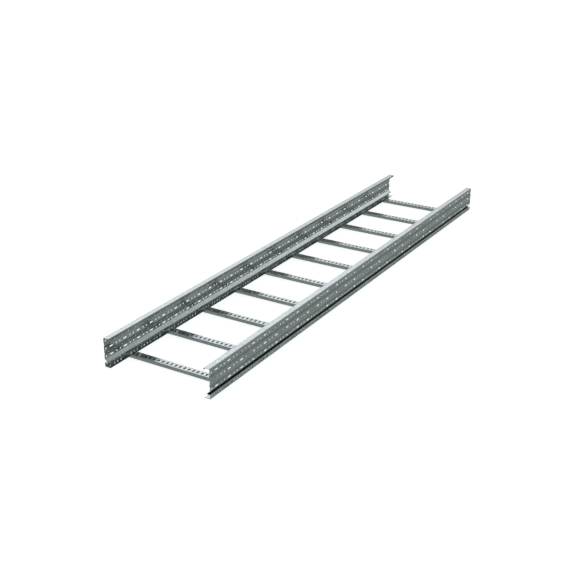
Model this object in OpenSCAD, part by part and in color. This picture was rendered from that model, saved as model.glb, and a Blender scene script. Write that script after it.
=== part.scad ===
// Cable ladder section: two roll-formed side rails joined by ten perforated rungs.
// X runs across the ladder, Y along it and Z up. The origin is at the middle of the
// footprint, on the level that the ladder rests on.

/* [Ladder] */
// Overall length of the section
ladder_l = 3000; // [2800:100:3600]
// Overall width, over the outer faces of the two side rails
ladder_w = 600; // [200:50:900]
// Distance from one rung to the next
rung_pitch = 300; // [200:10:300]

/* [Side rail] */
// Overall height of a side rail
rail_h = 150; // [142:1:200]
// Width of the top and bottom flanges, which both point into the ladder
flange_w = 33; // [28:1:50]
// Height of the lip that hangs from the inner edge of the top flange
lip_h = 10; // [7:1:20]
// How far the lower edge of the lip leans into the ladder
lip_lean = 1.5; // [0:0.5:3]
// Sheet thickness of the side rails
rail_t = 2; // [1.5:0.1:2.5]
// Inside radius of the bends of the side rails
rail_r = 2; // [1:0.5:2.5]

/* [Beads and groove of the side rail] */
// Height of the middle of the lower bead
bead_low_z = 67; // [65:0.5:69]
// Height of the middle of the upper bead
bead_high_z = 115; // [112:0.5:116]
// How far a bead is pressed into the ladder
bead_depth = 2.8; // [2:0.1:5]
// Width of a bead at the face of the rail
bead_mouth = 18; // [16:0.5:20]
// Width of the floor of a bead, between its two sloping sides
bead_floor = 2; // [2:0.5:5]
// Height at which the upper wall of the groove leaves the web
groove_top = 40.3; // [38:0.1:41]
// Height of the lower wall of the groove at its fold
groove_low = 24.2; // [23:0.1:26]
// Height at which the lower wall of the groove meets the foot
groove_foot = 22.5; // [21.5:0.1:24]
// How far the fold of the groove reaches into the ladder
groove_depth = 21; // [17:0.5:24]
// Inside radius of the tight bends at both ends of the lower wall
groove_r = 0.6; // [0.4:0.1:1]

/* [Perforation of the side rail] */
// Distance after which the perforation repeats
hole_pitch = 100; // [90:5:120]
// Height of the lowest row of slots
row_low_z = 49; // [48:0.5:50]
// Distance between the rows of slots
row_pitch = 40; // [40:0.5:41]
// Length of a slot
slot_l = 25; // [12:1:35]
// Width of a slot
slot_w = 6.5; // [5:0.5:8]
// Diameter of the round holes beside the slots
hole_d = 9; // [5:0.5:9]
// Distance between the two round holes of a pair
pair_gap = 25; // [20:1:30]
// Diameter of the small holes in the floors of the beads
bead_hole_d = 5; // [3:0.5:5.5]
// Height of the row in the foot
foot_row_z = 12.5; // [12:0.5:13]
// Distance between the two upright slots of a pair in the foot
foot_slot_gap = 33; // [25:1:40]
// Length of an upright slot in the foot
foot_slot_l = 14; // [8:0.5:15]
// Width of an upright slot in the foot
foot_slot_w = 5; // [3:0.5:6]

/* [Rung] */
// Width of a rung along the ladder
rung_w = 42; // [34:1:50]
// Height of a rung
rung_h = 18; // [12:0.5:18]
// Sheet thickness of the rungs
rung_t = 1.5; // [1:0.1:2]
// Inside radius of the bends of the rungs
rung_r = 1; // [0.5:0.1:2]
// Width of the lips that turn in under a rung
rung_lip = 10; // [5:0.5:12]
// Distance between the slots of a rung
rung_slot_pitch = 25; // [20:1:40]
// Length of a slot of a rung
rung_slot_l = 22; // [12:1:25]
// Width of a slot of a rung
rung_slot_w = 9; // [5:0.5:10]
// Gap between the end of a rung and the inside of the rail
rung_end_gap = 1; // [0.5:0.5:3]

/* [Hidden] */
// Number of rungs
rung_n = 10;
// Steps in which a bend of 90 degrees is rolled
bend_steps = 4;
// Sides of the round holes
hole_sides = 32;
// How far a cutter stands clear of the sheet on each side
clear = 1;
// Keeps a whole number of repeats whole when it is rounded down
tiny = 0.001;

// Repeats of the perforation along a rail, and where the first one starts
repeats = floor(ladder_l / hole_pitch + tiny);
first_y = -repeats * hole_pitch / 2;
// The middle of every repeat, and the lines between one repeat and the next
mid_ys = [for (i = [0:repeats - 1]) first_y + (i + 0.5) * hole_pitch];
line_ys = [for (i = [0:repeats]) first_y + i * hole_pitch];
// Places of the round holes: one half pair at each end, whole pairs between
pair_ys = [for (i = [0:repeats], side = [-1, 1])
    if ((i > 0 || side > 0) && (i < repeats || side < 0)) line_ys[i] + side * pair_gap / 2];
// Small holes at the quarters of every repeat, and upright slots on both sides of its middle
bead_hole_ys = [for (y = mid_ys, side = [-1, 1]) y + side * hole_pitch / 4];
foot_slot_ys = [for (y = mid_ys, side = [-1, 1]) y + side * foot_slot_gap / 2];
row_zs = [for (i = [0:2]) row_low_z + i * row_pitch];
bead_zs = [bead_low_z, bead_high_z];

// Rungs: length, and the slots on each side of the middle one that fit between the flanges
rung_l = ladder_w - 2 * (rail_t + rung_end_gap);
rung_clear_l = ladder_w - 2 * flange_w;
side_slots = floor((rung_clear_l - rung_slot_w) / 2 / rung_slot_pitch);
rung_slot_xs = [for (i = [-side_slots:side_slots]) i * rung_slot_pitch];

// Middle line of the rail's section, from the lip at the top to the edge of the foot.
// Each corner is given by its x, measured inwards from the outer face of the rail, its
// height, and the inside radius of the bend there.
half_t = rail_t / 2;
rail_line = [
    [flange_w - half_t + lip_lean, rail_h - lip_h, rail_r],
    [flange_w - half_t, rail_h - half_t, rail_r],
    [half_t, rail_h - half_t, rail_r],
    each bead_line(bead_high_z),
    each bead_line(bead_low_z),
    [half_t, groove_top, rail_r],
    [groove_depth, groove_low - half_t, groove_r],
    [half_t, groove_foot - half_t, groove_r],
    [half_t, half_t, rail_r],
    [flange_w, half_t, rail_r]
];

// Middle line of the rung's section, which is open at the bottom
rung_half = rung_w / 2 - rung_t / 2;
rung_line = [
    [rung_lip - rung_w / 2, rung_t / 2, rung_r],
    [-rung_half, rung_t / 2, rung_r],
    [-rung_half, rung_h - rung_t / 2, rung_r],
    [rung_half, rung_h - rung_t / 2, rung_r],
    [rung_half, rung_t / 2, rung_r],
    [rung_w / 2 - rung_lip, rung_t / 2, rung_r]
];

// The four corners of the bead whose middle is at height z
function bead_line(z) = [
    [half_t, z + bead_mouth / 2, rail_r],
    [half_t + bead_depth, z + bead_floor / 2, rail_r],
    [half_t + bead_depth, z - bead_floor / 2, rail_r],
    [half_t, z - bead_mouth / 2, rail_r]
];

// Place of a corner, unit vector from one corner to the next, and a vector turned left
function at(p) = [p[0], p[1]];
function towards(p, q) = (at(q) - at(p)) / norm(at(q) - at(p));
function left_of(v) = [-v[1], v[0]];

// One side of a bent sheet, side * t / 2 from its middle line. Both sides of a bend turn
// about the same middle point.
function bend_points(line, i, side, t) =
    let (
        a = towards(line[i - 1], line[i]),
        b = towards(line[i], line[i + 1]),
        turn = a[0] * b[1] - a[1] * b[0],
        hand = turn > 0 ? 1 : -1,
        angle = acos(max(-1, min(1, a * b))),
        middle_r = line[i][2] + t / 2,
        centre = at(line[i]) - a * middle_r * tan(angle / 2) + hand * left_of(a) * middle_r,
        radius = middle_r - hand * side * t / 2,
        steps = max(1, round(bend_steps * angle / 90)),
        start = -hand * left_of(a)
    )
    [for (k = [0:steps])
        let (w = hand * k * angle / steps)
        centre + radius * [start[0] * cos(w) - start[1] * sin(w),
                           start[0] * sin(w) + start[1] * cos(w)]];

function sheet_side(line, side, t) =
    let (
        last = len(line) - 1,
        head = left_of(towards(line[0], line[1])) * side * t / 2,
        tail = left_of(towards(line[last - 1], line[last])) * side * t / 2
    )
    concat(
        [at(line[0]) + head],
        [for (i = [1:last - 1]) each bend_points(line, i, side, t)],
        [at(line[last]) + tail]
    );

function reversed(v) = [for (i = [len(v) - 1:-1:0]) v[i]];

// Section of a sheet of thickness t bent along a middle line
module bent_sheet(line, t) {
    polygon(concat(sheet_side(line, 1, t), reversed(sheet_side(line, -1, t))));
}

// Outline of a slot of overall length l along Y and width w
module slot_outline(l, w) {
    square([w, l - w], center = true);
    for (side = [-1, 1])
        translate([0, side * (l - w) / 2])
            circle(d = w, $fn = hole_sides);
}

// Cutter for a slot through the upright wall between x0 and x1, long along Y or upright
module wall_slot(x0, x1, y, z, l, w, upright = false) {
    translate([x0 - clear, y, z])
        rotate([0, 90, 0])
            rotate([0, 0, upright ? 90 : 0])
                linear_extrude(x1 - x0 + 2 * clear)
                    slot_outline(l, w);
}

// Cutter for a round hole through the upright wall between x0 and x1
module wall_hole(x0, x1, y, z, d) {
    translate([x0 - clear, y, z])
        rotate([0, 90, 0])
            cylinder(h = x1 - x0 + 2 * clear, d = d, $fn = hole_sides);
}

// Every hole of a rail whose outer face is at x = 0 and whose inside is at x > 0
module rail_holes() {
    for (z = row_zs) {
        for (y = mid_ys) wall_slot(0, rail_t, y, z, slot_l, slot_w);
        for (y = pair_ys) wall_hole(0, rail_t, y, z, hole_d);
    }
    for (z = bead_zs, y = bead_hole_ys)
        wall_hole(0, bead_depth + rail_t, y, z, bead_hole_d);
    for (y = pair_ys) wall_hole(0, rail_t, y, foot_row_z, hole_d);
    for (y = foot_slot_ys)
        wall_slot(0, rail_t, y, foot_row_z, foot_slot_l, foot_slot_w, upright = true);
}

// A side rail that stands with its outer face at x = 0
module rail() {
    difference() {
        translate([0, ladder_l / 2, 0])
            rotate([90, 0, 0])
                linear_extrude(ladder_l)
                    bent_sheet(rail_line, rail_t);
        rail_holes();
    }
}

module side_rail_left() {
    color("#8d9593")
        translate([-ladder_w / 2, 0, 0])
            rail();
}

module side_rail_right() {
    color("#8d9593")
        translate([ladder_w / 2, 0, 0])
            mirror([1, 0, 0])
                rail();
}

// Rung number i, counted from the near end. It lies on the bottom flanges of the rails.
module rung(i) {
    color("#a9afad")
        translate([0, (i - (rung_n + 1) / 2) * rung_pitch, rail_t])
            difference() {
                rotate([90, 0, 90])
                    linear_extrude(rung_l, center = true)
                        bent_sheet(rung_line, rung_t);
                for (x = rung_slot_xs)
                    translate([x, 0, rung_h - rung_t - clear])
                        linear_extrude(rung_t + 2 * clear)
                            slot_outline(rung_slot_l, rung_slot_w);
            }
}

side_rail_left();
side_rail_right();
rung(1);  // rung_01
rung(2);  // rung_02
rung(3);  // rung_03
rung(4);  // rung_04
rung(5);  // rung_05
rung(6);  // rung_06
rung(7);  // rung_07
rung(8);  // rung_08
rung(9);  // rung_09
rung(10);  // rung_10
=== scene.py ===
"""Dresses a cable ladder section of bright galvanised sheet steel.

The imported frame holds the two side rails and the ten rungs. This script gives them their
finishes, adds the welds and the punching burrs, and sets up a plain soft studio.
Lengths are in metres unless a name ends in mm.
"""

import logging
import math
from dataclasses import dataclass
from enum import Enum

import bmesh
import bpy
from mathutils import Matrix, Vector


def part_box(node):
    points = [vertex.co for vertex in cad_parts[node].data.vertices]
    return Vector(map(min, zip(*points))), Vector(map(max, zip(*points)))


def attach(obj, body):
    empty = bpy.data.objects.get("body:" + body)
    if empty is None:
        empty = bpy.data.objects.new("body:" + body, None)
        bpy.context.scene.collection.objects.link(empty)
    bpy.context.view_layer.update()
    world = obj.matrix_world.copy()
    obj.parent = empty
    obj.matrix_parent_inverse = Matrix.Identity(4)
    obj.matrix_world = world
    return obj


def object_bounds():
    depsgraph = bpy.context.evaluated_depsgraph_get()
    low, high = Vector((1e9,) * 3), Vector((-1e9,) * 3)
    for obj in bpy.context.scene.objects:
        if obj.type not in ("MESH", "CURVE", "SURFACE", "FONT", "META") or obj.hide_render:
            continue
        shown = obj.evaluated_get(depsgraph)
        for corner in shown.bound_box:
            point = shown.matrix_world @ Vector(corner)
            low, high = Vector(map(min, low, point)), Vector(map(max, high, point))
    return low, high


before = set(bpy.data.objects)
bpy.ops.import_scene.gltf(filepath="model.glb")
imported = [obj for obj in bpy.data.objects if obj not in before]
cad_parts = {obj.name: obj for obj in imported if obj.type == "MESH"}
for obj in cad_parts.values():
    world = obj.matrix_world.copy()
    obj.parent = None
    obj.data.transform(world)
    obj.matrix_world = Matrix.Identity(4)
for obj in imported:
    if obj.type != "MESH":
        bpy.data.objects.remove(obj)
CAD_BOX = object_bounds()

MM = 0.001
log = logging.getLogger("cable_ladder")


class Side(Enum):
    """The two sides of the ladder, by the sign of their X."""

    LEFT = -1
    RIGHT = 1

    @property
    def label(self) -> str:
        """The side's name in small letters."""
        return self.name.lower()


def linear(hex_colour: str) -> tuple[float, float, float, float]:
    """Turns an sRGB hex colour into a linear one.

    Args:
        hex_colour: Six hex digits after a hash sign.

    Returns:
        Linear red, green and blue, with an alpha of 1.
    """
    channels = (int(hex_colour[i:i + 2], 16) / 255 for i in (1, 3, 5))
    red, green, blue = (c / 12.92 if c <= 0.04045 else ((c + 0.055) / 1.055) ** 2.4
                        for c in channels)
    return red, green, blue, 1.0


def add_node(tree: bpy.types.NodeTree, kind: str, settings: dict | None = None,
             links: dict | None = None) -> bpy.types.Node:
    """Adds a node to a tree, sets it up and links its inputs.

    Args:
        tree: Tree that the node goes into.
        kind: Blender's name for the kind of node.
        settings: Values by the name of a property, or by the name or number of an input.
        links: Output sockets by the name or number of the input that each one feeds.

    Returns:
        The new node.
    """
    node = tree.nodes.new(kind)
    for key, value in (settings or {}).items():
        if isinstance(key, str) and hasattr(node, key):
            setattr(node, key, value)
        else:
            node.inputs[key].default_value = value
    for key, socket in (links or {}).items():
        tree.links.new(socket, node.inputs[key])
    return node


def start_material(name: str) -> tuple[bpy.types.Material, bpy.types.NodeTree]:
    """Starts a material.

    Args:
        name: Name of the material.

    Returns:
        The material, and its empty node tree.
    """
    material = bpy.data.materials.new(name)
    material.use_nodes = True
    material.node_tree.nodes.clear()
    return material, material.node_tree


def end_material(tree: bpy.types.NodeTree, settings: dict, links: dict | None = None) -> None:
    """Ends a material with its surface.

    Args:
        tree: The material's node tree.
        settings: Values of the surface, by the name of the input.
        links: Output sockets by the name of the input of the surface.
    """
    surface = add_node(tree, "ShaderNodeBsdfPrincipled", settings, links).outputs[0]
    add_node(tree, "ShaderNodeOutputMaterial", {}, {"Surface": surface})


def start_group(name: str,
                inputs: dict[str, str]) -> tuple[bpy.types.NodeTree, bpy.types.NodeOutputs]:
    """Starts a Geometry Nodes group with named inputs and a geometry output.

    Args:
        name: Name of the group.
        inputs: The kind of socket of each input, by the input's name.

    Returns:
        The group, and the outputs of its input node.
    """
    tree = bpy.data.node_groups.new(name, "GeometryNodeTree")
    for label, kind in inputs.items():
        tree.interface.new_socket(name=label, in_out="INPUT", socket_type=kind)
    tree.interface.new_socket(name="Geometry", in_out="OUTPUT",
                              socket_type="NodeSocketGeometry")
    return tree, add_node(tree, "NodeGroupInput").outputs


def add_row(tree: bpy.types.NodeTree, points: bpy.types.NodeOutputs,
            instances: dict[str, bpy.types.NodeSocket]) -> bpy.types.NodeSocket:
    """Adds the nodes that repeat a shape along Y.

    Args:
        tree: The group.
        points: The inputs of the group, with the count, the first place and the spacing.
        instances: Sockets for the shape, and for its turn and size if they differ.

    Returns:
        The row of instances.
    """
    offset = add_node(tree, "ShaderNodeCombineXYZ", {}, {"Y": points["Spacing"]}).outputs[0]
    line = add_node(tree, "GeometryNodeMeshLine", {},
                    {"Count": points["Count"], "Start Location": points["First"],
                     "Offset": offset}).outputs[0]
    return add_node(tree, "GeometryNodeInstanceOnPoints", {},
                    {"Points": line} | instances).outputs[0]


def end_group(tree: bpy.types.NodeTree, instances: bpy.types.NodeSocket,
              material: bpy.types.NodeSocket) -> None:
    """Ends a Geometry Nodes group: makes the instances real and gives them a material.

    Args:
        tree: The group.
        instances: Geometry that the group has built.
        material: The group's material input.
    """
    real = add_node(tree, "GeometryNodeRealizeInstances", {}, {"Geometry": instances}).outputs[0]
    painted = add_node(tree, "GeometryNodeSetMaterial", {},
                       {"Geometry": real, "Material": material}).outputs[0]
    add_node(tree, "NodeGroupOutput", {}, {0: painted})


def mesh_from_group(tree: bpy.types.NodeTree, values: dict[str, object]) -> bpy.types.Mesh:
    """Runs a Geometry Nodes group and keeps its result as a plain mesh.

    Args:
        tree: The group.
        values: A value for each input, by the input's name.

    Returns:
        The mesh that the group made.
    """
    host = bpy.data.objects.new(tree.name, bpy.data.meshes.new(tree.name))
    bpy.context.collection.objects.link(host)
    modifier = host.modifiers.new(tree.name, "NODES")
    modifier.node_group = tree
    for item in tree.interface.items_tree:
        if item.in_out == "INPUT":
            modifier[item.identifier] = values[item.name]
    bpy.context.view_layer.update()
    depsgraph = bpy.context.evaluated_depsgraph_get()
    mesh = bpy.data.meshes.new_from_object(host.evaluated_get(depsgraph))
    bpy.data.objects.remove(host)
    return mesh


def add_piece(name: str, meshes: list[bpy.types.Mesh], material: bpy.types.Material) -> bpy.types.Object:
    """Joins meshes into one smooth piece that rides on the ladder.

    Args:
        name: Name of the piece.
        meshes: Meshes in the ladder's own frame.
        material: The piece's material.

    Returns:
        The new piece.
    """
    joined = bmesh.new()
    for mesh in meshes:
        joined.from_mesh(mesh)
    bmesh.ops.recalc_face_normals(joined, faces=joined.faces)
    whole = bpy.data.meshes.new(name)
    joined.to_mesh(whole)
    joined.free()
    whole.shade_smooth()
    whole.materials.clear()
    whole.materials.append(material)
    piece = bpy.data.objects.new(name, whole)
    bpy.context.collection.objects.link(piece)
    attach(piece, "root")
    log.info("%s: %d faces", name, len(whole.polygons))
    return piece


@dataclass(frozen=True)
class RolledZinc:
    """Galvanised sheet whose zinc was flattened between polished rolls.

    The eye sees a grey metal that mirrors what stands near it, a little blurred. Flat
    spangles and faint clouds make some patches of it darker and duller than others, fine
    lines run the way the sheet went through the rolls, and the mirror images waver because
    the sheet isn't quite flat. Painted shade, from ambient occlusion, darkens the corners and hollows.

    The spangles and the lines are coarser than rolled zinc has them, so that they show.
    """

    name: str
    colour: str = "#d0d6d7"
    bloom_colour: str = "#a8aeaf"
    # Colour of the painted shade that darkens the corners and hollows
    painted_shade_colour: str = "#33383a"
    roughness: float = 0.10
    bloom_roughness: float = 0.06
    bloom_edge: tuple[float, float] = (0.35, 0.65)
    cloud_mm: float = 45.0
    spangle_mm: float = 7.0
    spangle_share: float = 0.55
    line_mm: float = 1.2
    line_depth_mm: float = 0.01
    line_strength: float = 0.1
    line_stretch: tuple[float, float, float] = (1.0, 0.01, 1.0)
    wave_mm: float = 140.0
    wave_depth_mm: float = 0.6
    wave_strength: float = 0.2
    # How far the painted shade reaches, and between which ambient occlusion values it fades in
    corner_mm: float = 20.0
    fully_shaded_below: float = 0.2
    unshaded_above: float = 0.58

    def build(self) -> bpy.types.Material:
        """Builds the material.

        Returns:
            A metal whose colour, roughness and bump follow the rolled zinc.
        """
        material, tree = start_material(self.name)
        place = add_node(tree, "ShaderNodeTexCoord").outputs["Object"]
        bloom = self.add_bloom(tree, place)
        zinc = add_node(tree, "ShaderNodeMix",
                        {"data_type": "RGBA", 6: linear(self.colour),
                         7: linear(self.bloom_colour)}, {0: bloom}).outputs[2]
        rough = add_node(tree, "ShaderNodeMapRange",
                         {"From Min": self.bloom_edge[0], "From Max": self.bloom_edge[1],
                          "To Min": self.roughness,
                          "To Max": self.roughness + self.bloom_roughness},
                         {"Value": bloom}).outputs[0]
        end_material(tree, {"Metallic": 1.0},
                     {"Base Color": self.add_painted_shade(tree, zinc), "Roughness": rough,
                      "Normal": self.add_bump(tree, place)})
        return material

    def add_bloom(self, tree: bpy.types.NodeTree,
                  place: bpy.types.NodeSocket) -> bpy.types.NodeSocket:
        """Adds the spangles and the clouds.

        Args:
            tree: The material's node tree.
            place: Place on the object.

        Returns:
            How much the zinc blooms there, from 0 to 1.
        """
        cloud = add_node(tree, "ShaderNodeTexNoise",
                         {"Scale": 1 / (self.cloud_mm * MM), "Detail": 4.0},
                         {"Vector": place}).outputs[0]
        cells = add_node(tree, "ShaderNodeTexVoronoi", {"Scale": 1 / (self.spangle_mm * MM)},
                         {"Vector": place}).outputs["Color"]
        spangle = add_node(tree, "ShaderNodeSeparateColor", {}, {0: cells}).outputs[0]
        return add_node(tree, "ShaderNodeMix", {"data_type": "FLOAT", 0: self.spangle_share},
                        {2: cloud, 3: spangle}).outputs[0]

    def add_painted_shade(self, tree: bpy.types.NodeTree,
                  zinc: bpy.types.NodeSocket) -> bpy.types.NodeSocket:
        """Adds the dull oxide in the corners.

        Args:
            tree: The material's node tree.
            zinc: Colour of the zinc where no shade is painted.

        Returns:
            The colour with the painted shade.
        """
        # Painted shade: the less open a spot is, the closer its colour goes to the dark shade colour
        openness = add_node(tree, "ShaderNodeAmbientOcclusion",
                            {"samples": 8, "only_local": True,
                             "Distance": self.corner_mm * MM}).outputs["AO"]
        light_share = add_node(tree, "ShaderNodeMapRange",
                         {"From Min": self.fully_shaded_below, "From Max": self.unshaded_above},
                         {"Value": openness}).outputs[0]
        return add_node(tree, "ShaderNodeMix",
                        {"data_type": "RGBA", 6: linear(self.painted_shade_colour)},
                        {0: light_share, 7: zinc}).outputs[2]

    def add_bump(self, tree: bpy.types.NodeTree,
                 place: bpy.types.NodeSocket) -> bpy.types.NodeSocket:
        """Adds the roll lines and the waviness of the sheet.

        Args:
            tree: The material's node tree.
            place: Place on the object.

        Returns:
            The bumped normal.
        """
        rolled = add_node(tree, "ShaderNodeMapping", {"Scale": self.line_stretch},
                          {"Vector": place}).outputs[0]
        lines = add_node(tree, "ShaderNodeTexNoise",
                         {"Scale": 1 / (self.line_mm * MM), "Detail": 2.0},
                         {"Vector": rolled}).outputs[0]
        wave = add_node(tree, "ShaderNodeTexNoise",
                        {"Scale": 1 / (self.wave_mm * MM), "Detail": 1.0},
                        {"Vector": place}).outputs[0]
        scored = add_node(tree, "ShaderNodeBump",
                          {"Strength": self.line_strength,
                           "Distance": self.line_depth_mm * MM}, {"Height": lines}).outputs[0]
        return add_node(tree, "ShaderNodeBump",
                        {"Strength": self.wave_strength, "Distance": self.wave_depth_mm * MM},
                        {"Height": wave, "Normal": scored}).outputs[0]


@dataclass(frozen=True)
class BareSteel:
    """Steel that was cut or melted after the sheet was galvanised.

    The eye sees it as duller and grainier than the zinc round it: a weld reads as a matt
    grey bead, and a punched edge as a thin soft line.
    """

    name: str
    colour: str = "#8d8f8e"
    heat_colour: str = "#6f706e"
    roughness: float = 0.38
    grain_mm: float = 0.8
    grain_depth_mm: float = 0.05
    grain_strength: float = 0.4

    def build(self) -> bpy.types.Material:
        """Builds the material.

        Returns:
            A dull metal with a fine grain.
        """
        material, tree = start_material(self.name)
        place = add_node(tree, "ShaderNodeTexCoord").outputs["Object"]
        grain = add_node(tree, "ShaderNodeTexNoise",
                         {"Scale": 1 / (self.grain_mm * MM), "Detail": 3.0},
                         {"Vector": place}).outputs[0]
        tint = add_node(tree, "ShaderNodeMix",
                        {"data_type": "RGBA", 6: linear(self.colour),
                         7: linear(self.heat_colour)}, {0: grain}).outputs[2]
        bump = add_node(tree, "ShaderNodeBump",
                        {"Strength": self.grain_strength,
                         "Distance": self.grain_depth_mm * MM}, {"Height": grain}).outputs[0]
        end_material(tree, {"Metallic": 1.0, "Roughness": self.roughness},
                     {"Base Color": tint, "Normal": bump})
        return material


@dataclass
class RungWelds:
    """The fillet welds that hold the ends of the rungs on the bottom flange of one rail.

    Each rung end has one weld along each of its two flanks. A weld is a round bead whose
    middle stands off the corner by a small share of its leg. It swells along each ripple,
    from its least size by the swell, and tapers to the tip's size at its ends.
    """

    side: Side
    material: bpy.types.Material
    length: float = 22 * MM
    leg: float = 1.7 * MM
    stand_off: float = 0.1
    ripple: float = 1.3 * MM
    least: float = 0.8
    swell: float = 0.22
    tip: float = 0.2
    rail_wall: float = 2 * MM
    inset: float = 5 * MM
    steps: int = 56
    sides: int = 10
    most_turn: tuple[float, float, float] = (0.5, 0.01, 0.02)
    least_size: tuple[float, float, float] = (0.94, 0.9, 0.9)
    seed: int = 4

    def build(self) -> bpy.types.Object:
        """Builds the welds of this side as one piece.

        Returns:
            The piece.
        """
        low, high = (Vector(corner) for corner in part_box("rung_01"))
        next_low = Vector(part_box("rung_02")[0])
        rungs = sum(name.startswith("rung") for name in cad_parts)
        outer = CAD_BOX[0][0] if self.side is Side.LEFT else CAD_BOX[1][0]
        first_x = outer - self.side.value * self.inset
        if self.side is Side.RIGHT:
            first_x -= self.length
        off = self.stand_off * self.leg
        tree = self.group()
        meshes = [mesh_from_group(tree, {
            "Count": rungs, "Spacing": next_low.y - low.y,
            "First": (first_x, flank, self.rail_wall + off), "Length": self.length,
            "Leg": self.leg, "Ripple": self.ripple, "Seed": self.seed + row,
            "Material": self.material,
        }) for row, flank in enumerate((low.y - off, high.y + off))]
        return add_piece(f"rung_welds_{self.side.label}", meshes, self.material)

    def group(self) -> bpy.types.NodeTree:
        """Builds the group that repeats one rippled weld along the rungs.

        Returns:
            The Geometry Nodes group.
        """
        tree, given = start_group("weld_row", {
            "Count": "NodeSocketInt", "Spacing": "NodeSocketFloat", "First": "NodeSocketVector",
            "Length": "NodeSocketFloat", "Leg": "NodeSocketFloat", "Ripple": "NodeSocketFloat",
            "Seed": "NodeSocketInt", "Material": "NodeSocketMaterial"})
        end = add_node(tree, "ShaderNodeCombineXYZ", {}, {"X": given["Length"]}).outputs[0]
        line = add_node(tree, "GeometryNodeCurvePrimitiveLine", {}, {"End": end}).outputs[0]
        line = add_node(tree, "GeometryNodeResampleCurve", {"Count": self.steps},
                        {"Curve": line}).outputs[0]
        ring = add_node(tree, "GeometryNodeCurvePrimitiveCircle", {"Resolution": self.sides},
                        {"Radius": given["Leg"]}).outputs[0]
        bead = add_node(tree, "GeometryNodeCurveToMesh", {"Fill Caps": True},
                        {"Curve": line, "Profile Curve": ring,
                         "Scale": self.add_thickness(tree, given)}).outputs[0]
        turn = add_node(tree, "FunctionNodeRandomValue",
                        {"data_type": "FLOAT_VECTOR", 0: tuple(-t for t in self.most_turn),
                         1: self.most_turn}, {"Seed": given["Seed"]}).outputs[0]
        size = add_node(tree, "FunctionNodeRandomValue",
                        {"data_type": "FLOAT_VECTOR", 0: self.least_size, 1: (1.0, 1.0, 1.0)},
                        {"Seed": given["Seed"]}).outputs[0]
        row = add_row(tree, given, {"Instance": bead, "Rotation": turn, "Scale": size})
        end_group(tree, row, given["Material"])
        return tree

    def add_thickness(self, tree: bpy.types.NodeTree,
                      given: bpy.types.NodeOutputs) -> bpy.types.NodeSocket:
        """Adds the nodes that measure how thick the weld is along its length.

        Args:
            tree: The group.
            given: The group's inputs.

        Returns:
            The thickness, as a share of the leg.
        """
        def maths(operation: str, first: object, second: object = 0.0) -> bpy.types.NodeSocket:
            """Adds a maths node on two values, each a socket or a number."""
            both = {0: first, 1: second}
            return add_node(tree, "ShaderNodeMath",
                            {"operation": operation}
                            | {k: v for k, v in both.items() if isinstance(v, float)},
                            {k: v for k, v in both.items() if not isinstance(v, float)}
                            ).outputs[0]

        along = add_node(tree, "GeometryNodeSplineParameter").outputs["Length"]
        step = maths("FRACT", maths("DIVIDE", along, given["Ripple"]))
        swell = maths("ADD", maths("MULTIPLY", step, self.swell), self.least)
        left = maths("SUBTRACT", given["Length"], along)
        to_end = maths("DIVIDE", maths("MINIMUM", along, left), given["Leg"])
        taper = maths("SQRT", maths("MINIMUM", to_end, 1.0))
        taper = maths("ADD", maths("MULTIPLY", taper, 1.0 - self.tip), self.tip)
        return maths("MULTIPLY", swell, taper)


@dataclass(frozen=True)
class Hole:
    """One hole of each repeat of the perforation: its place along the rail and its size."""

    along: float
    length: float
    width: float


ROUND_HOLES = (Hole(12.5 * MM, 9 * MM, 9 * MM), Hole(87.5 * MM, 9 * MM, 9 * MM))


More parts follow.
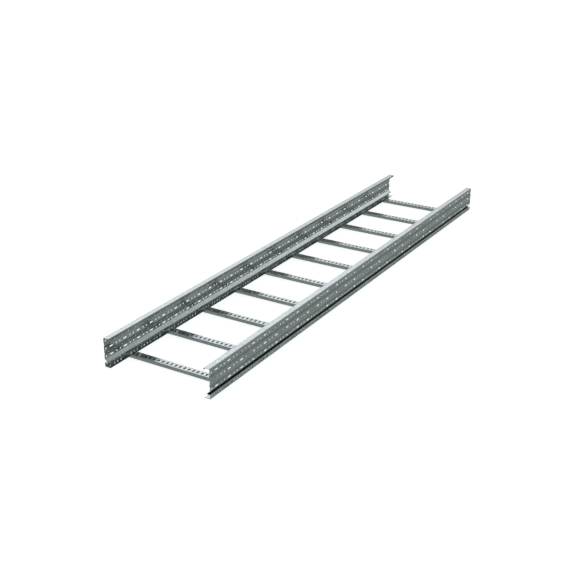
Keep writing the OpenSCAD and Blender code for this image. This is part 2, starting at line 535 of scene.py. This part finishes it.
@dataclass
class PunchBurrs:
    """The fine raised rims that punching leaves on the inner face of one rail."""

    side: Side
    material: bpy.types.Material
    rail_wall: float = 2 * MM
    burr: float = 0.22 * MM
    burr_sides: int = 5
    corner_steps: int = 6
    pitch: float = 100 * MM
    web_heights: tuple[float, ...] = (49 * MM, 89 * MM, 129 * MM)
    web_holes: tuple[Hole, ...] = (Hole(50 * MM, 25 * MM, 6.5 * MM), *ROUND_HOLES)
    foot_height: float = 12.5 * MM
    foot_holes: tuple[Hole, ...] = (
        Hole(33.5 * MM, 5 * MM, 14 * MM), Hole(66.5 * MM, 5 * MM, 14 * MM), *ROUND_HOLES)

    def build(self) -> bpy.types.Object:
        """Builds the burrs of this side as one piece.

        Returns:
            The piece.
        """
        low, high = (Vector(corner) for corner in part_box(f"side_rail_{self.side.label}"))
        outer = low.x if self.side is Side.LEFT else high.x
        inner = outer - self.side.value * self.rail_wall
        rows = [(height, hole) for height in self.web_heights for hole in self.web_holes]
        rows += [(self.foot_height, hole) for hole in self.foot_holes]
        tree = self.group()
        meshes = [mesh_from_group(tree, {
            "Count": round((high.y - low.y) / self.pitch), "Spacing": self.pitch,
            "First": (inner, low.y + hole.along, height), "Length": hole.length,
            "Width": hole.width, "Burr": self.burr, "Material": self.material,
        }) for height, hole in rows]
        return add_piece(f"punch_burrs_{self.side.label}", meshes, self.material)

    def group(self) -> bpy.types.NodeTree:
        """Builds the group that repeats one round-ended rim along the rail.

        Returns:
            The Geometry Nodes group.
        """
        tree, given = start_group("burr_row", {
            "Count": "NodeSocketInt", "Spacing": "NodeSocketFloat", "First": "NodeSocketVector",
            "Length": "NodeSocketFloat", "Width": "NodeSocketFloat", "Burr": "NodeSocketFloat",
            "Material": "NodeSocketMaterial"})
        outline = add_node(tree, "GeometryNodeCurvePrimitiveQuadrilateral", {},
                           {"Width": given["Width"], "Height": given["Length"]}).outputs[0]
        shorter = add_node(tree, "ShaderNodeMath", {"operation": "MINIMUM"},
                           {0: given["Width"], 1: given["Length"]}).outputs[0]
        # Just under a half, so that the rounded corners never meet in one point
        radius = add_node(tree, "ShaderNodeMath", {"operation": "MULTIPLY", 1: 0.499},
                          {0: shorter}).outputs[0]
        outline = add_node(tree, "GeometryNodeFilletCurve",
                           {"mode": "POLY", "Count": self.corner_steps, "Limit Radius": True},
                           {"Curve": outline, "Radius": radius}).outputs[0]
        ring = add_node(tree, "GeometryNodeCurvePrimitiveCircle",
                        {"Resolution": self.burr_sides}, {"Radius": given["Burr"]}).outputs[0]
        rim = add_node(tree, "GeometryNodeCurveToMesh", {},
                       {"Curve": outline, "Profile Curve": ring}).outputs[0]
        upright = add_node(tree, "GeometryNodeTransform", {"Rotation": (0.0, math.pi / 2, 0.0)},
                           {"Geometry": rim}).outputs[0]
        end_group(tree, add_row(tree, given, {"Instance": upright}), given["Material"])
        return tree


@dataclass(frozen=True)
class SoftBox:
    """A large soft patch of light in the room.

    Azimuth is counted from +Y towards +X and elevation from the level up, in degrees. Each
    is given by where the light begins, is full, begins to fade and ends. The azimuths are
    those at the level, and move by the lean for each degree of elevation.
    """

    azimuth: tuple[float, float, float, float]
    elevation: tuple[float, float, float, float]
    power: float
    lean: float = 0.0
    colour: str = "#fafbff"

    def add_to(self, tree: bpy.types.NodeTree, azimuth: bpy.types.NodeSocket,
               elevation: bpy.types.NodeSocket) -> bpy.types.NodeSocket:
        """Adds the nodes that measure how much of this light comes from a direction.

        Args:
            tree: The world's node tree.
            azimuth: Azimuth of the direction, in radians.
            elevation: Elevation of the direction, in radians.

        Returns:
            The light's radiance in that direction.
        """
        upright = add_node(tree, "ShaderNodeMath",
                           {"operation": "MULTIPLY_ADD", 1: -self.lean},
                           {0: elevation, 2: azimuth}).outputs[0]
        share = None
        for angle, (begin, full, fade, end) in ((upright, self.azimuth),
                                                (elevation, self.elevation)):
            for first, last, low, high in ((begin, full, 0.0, 1.0), (fade, end, 1.0, 0.0)):
                edge = add_node(tree, "ShaderNodeMapRange",
                                {"interpolation_type": "SMOOTHSTEP",
                                 "From Min": math.radians(first),
                                 "From Max": math.radians(last), "To Min": low,
                                 "To Max": high}, {"Value": angle}).outputs[0]
                share = edge if share is None else add_node(
                    tree, "ShaderNodeMath", {"operation": "MULTIPLY"},
                    {0: share, 1: edge}).outputs[0]
        return add_node(tree, "ShaderNodeMath", {"operation": "MULTIPLY", 1: self.power},
                        {0: share}).outputs[0]


@dataclass
class Studio:
    """A pale floor and backdrop, a soft light room and the camera."""

    floor_half: float = 30.0
    floor_drop: float = 0.5 * MM
    backdrop_height: float = 25.0
    paint_colour: str = "#f4f4f4"
    paint_roughness: float = 0.9
    paint_glow: float = 0.72
    camera_place: tuple[float, float, float] = (2.6229, -4.6887, 2.2274)
    look_azimuth: float = 31.33
    look_down: float = 23.14
    lens_mm: float = 64.67
    sensor_mm: float = 36.0
    room_colour: str = "#f5fffb"
    below: float = 0.355
    above: float = 0.245
    horizon: tuple[float, float] = (-0.27, -0.07)
    lights: tuple[SoftBox, ...] = (
        SoftBox(azimuth=(-130, -95, -9, 12), elevation=(4, 28, 21, 57), power=1.17, lean=0.7),
        SoftBox(azimuth=(100, 130, 160, 178), elevation=(3, 25, 60, 85), power=0.76),
    )

    def build(self) -> None:
        """Builds the floor, the backdrop, the light and the camera."""
        self.build_room()
        self.light_room()
        self.place_camera()
        log.info("studio: floor, backdrop, %d soft lights and camera", len(self.lights))

    def build_room(self) -> None:
        """Builds the floor just under the ladder, and a backdrop that only the camera sees."""
        paint = self.white_paint()
        half, low, high = self.floor_half, -self.floor_drop, self.backdrop_height
        corners = [(-half, -half), (half, -half), (half, half), (-half, half)]
        floor = self.add_sheet("floor", [(x, y, low) for x, y in corners], [(0, 1, 2, 3)], paint)
        floor.visible_glossy = False
        walls = self.add_sheet("backdrop", [(x, y, z) for z in (low, high) for x, y in corners],
                               [(k, k + 4, (k + 1) % 4 + 4, (k + 1) % 4) for k in range(4)],
                               paint)
        for kind in ("glossy", "diffuse", "transmission", "shadow"):
            setattr(walls, f"visible_{kind}", False)

    @staticmethod
    def add_sheet(name: str, points: list[tuple[float, float, float]],
                  faces: list[tuple[int, ...]],
                  material: bpy.types.Material) -> bpy.types.Object:
        """Adds a plain sheet to the studio.

        Args:
            name: Name of the sheet.
            points: Its corners.
            faces: The corners of each of its faces, by number.
            material: Its material.

        Returns:
            The sheet, which is no part of the ladder.
        """
        mesh = bpy.data.meshes.new(name)
        mesh.from_pydata(points, [], faces)
        mesh.materials.append(material)
        sheet = bpy.data.objects.new(name, mesh)
        bpy.context.collection.objects.link(sheet)
        return sheet

    def white_paint(self) -> bpy.types.Material:
        """Builds the matt white paint of the studio, which glows a little to stay even.

        Returns:
            The material of the floor and the backdrop.
        """
        material, tree = start_material("matt_white_paint")
        end_material(tree, {"Base Color": linear(self.paint_colour),
                            "Roughness": self.paint_roughness, "Specular IOR Level": 0.0,
                            "Emission Color": linear("#ffffff"),
                            "Emission Strength": self.paint_glow})
        return material

    def light_room(self) -> None:
        """Makes the room's light: even below the horizon, dimmer above it, with soft boxes."""
        world = bpy.data.worlds.new("studio_room")
        world.use_nodes = True
        bpy.context.scene.world = world
        tree = world.node_tree
        tree.nodes.clear()
        direction = add_node(tree, "ShaderNodeTexCoord").outputs["Generated"]
        parts = add_node(tree, "ShaderNodeSeparateXYZ", {}, {"Vector": direction}).outputs
        room = add_node(tree, "ShaderNodeMapRange",
                        {"interpolation_type": "SMOOTHSTEP", "From Min": self.horizon[0],
                         "From Max": self.horizon[1], "To Min": self.below,
                         "To Max": self.above}, {"Value": parts["Z"]}).outputs[0]
        azimuth = add_node(tree, "ShaderNodeMath", {"operation": "ARCTAN2"},
                           {0: parts["X"], 1: parts["Y"]}).outputs[0]
        elevation = add_node(tree, "ShaderNodeMath", {"operation": "ARCSINE"},
                             {0: parts["Z"]}).outputs[0]
        glow = add_node(tree, "ShaderNodeBackground", {"Color": linear(self.room_colour)},
                        {"Strength": room}).outputs[0]
        for light in self.lights:
            box = add_node(tree, "ShaderNodeBackground", {"Color": linear(light.colour)},
                           {"Strength": light.add_to(tree, azimuth, elevation)}).outputs[0]
            glow = add_node(tree, "ShaderNodeAddShader", {}, {0: glow, 1: box}).outputs[0]
        add_node(tree, "ShaderNodeOutputWorld", {}, {"Surface": glow})
        bpy.context.scene.view_settings.view_transform = "Standard"

    def place_camera(self) -> None:
        """Places the camera at the right of the near end, looking along and down."""
        data = bpy.data.cameras.new("camera")
        data.sensor_width = self.sensor_mm
        data.lens = self.lens_mm
        camera = bpy.data.objects.new("camera", data)
        bpy.context.collection.objects.link(camera)
        turn, down = math.radians(self.look_azimuth), math.radians(self.look_down)
        level = math.cos(down)
        ahead = Vector((-math.sin(turn) * level, math.cos(turn) * level, -math.sin(down)))
        camera.location = self.camera_place
        camera.rotation_euler = ahead.to_track_quat("-Z", "Y").to_euler()
        bpy.context.scene.camera = camera


def main() -> None:
    """Dresses the frame, adds the small pieces and sets up the studio."""
    rail_zinc = RolledZinc("rolled_zinc_rail").build()
    # The rungs' sheet runs across the ladder, and their insides get a stronger, darker painted shade
    rung_zinc = RolledZinc("rolled_zinc_rung", roughness=0.14, line_stretch=(0.01, 1.0, 1.0),
                           corner_mm=30.0, fully_shaded_below=0.3, unshaded_above=0.8,
                           painted_shade_colour="#26292b").build()
    for name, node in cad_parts.items():
        zinc = rail_zinc if name.startswith("side_rail") else rung_zinc
        node.material_slots[0].material = zinc
        log.info("%s: %s", name, zinc.name)
    weld_steel = BareSteel("weld_steel").build()
    cut_steel = BareSteel("cut_steel", colour="#9da1a1", heat_colour="#8a8e8e",
                          roughness=0.25).build()
    for side in Side:
        RungWelds(side, weld_steel).build()
        PunchBurrs(side, cut_steel).build()
    Studio().build()


if __name__ == "__main__":
    logging.basicConfig(level=logging.INFO)
    main()
